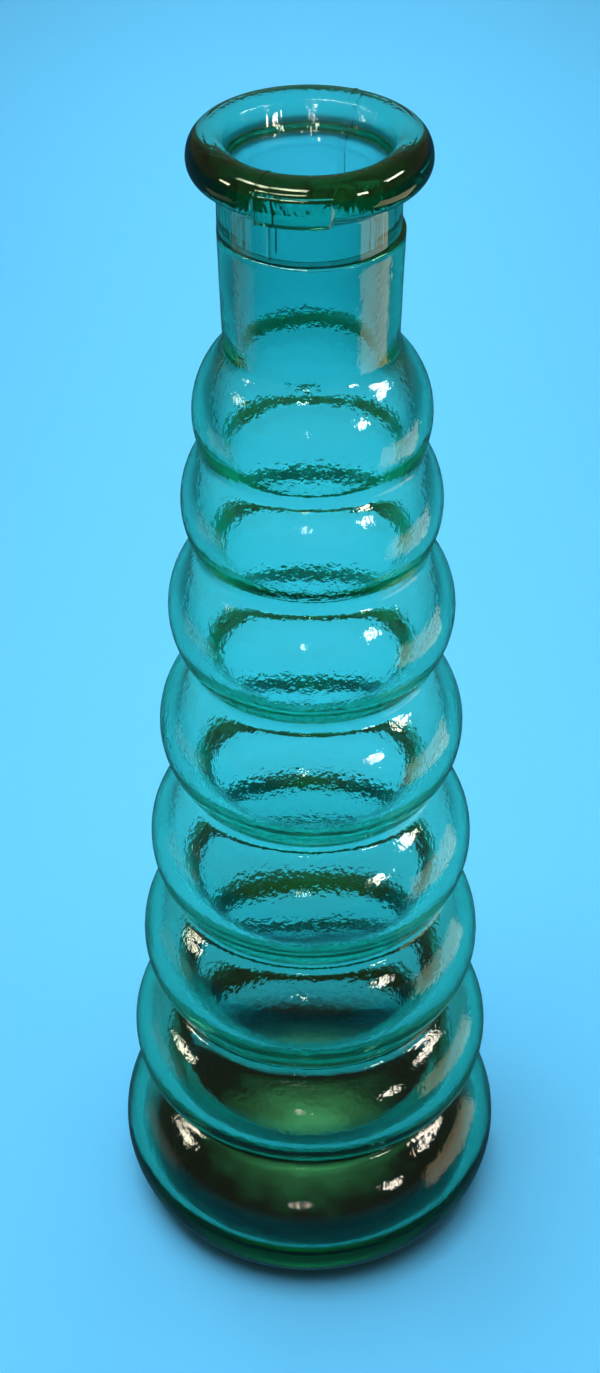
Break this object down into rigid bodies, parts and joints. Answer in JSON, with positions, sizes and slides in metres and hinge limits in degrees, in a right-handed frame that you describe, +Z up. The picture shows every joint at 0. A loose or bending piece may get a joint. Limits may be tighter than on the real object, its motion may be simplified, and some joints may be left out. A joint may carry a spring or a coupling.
{
  "type": "ringed glass bottle",
  "caption": "Tapered moulded glass bottle of stacked rounded rings, with a straight neck, a thick rolled lip and an open mouth for a stopper.",
  "frame": {"origin": "middle of the ring that the bottle stands on, at table height", "axes": "+Z up along the bottle's axis, -Y towards the pictured front, where the lug under the lip is"},
  "size_m": [0.0668, 0.0668, 0.203],
  "materials": {
    "body_glass": "teal moulded glass, slightly wavy, glossy",
    "finish_glass": "teal moulded glass, fire polished"
  },
  "bodies": {
    "root": {"bottle_body": "body_glass", "lip_finish": "finish_glass"}
  },
  "joints": []
}
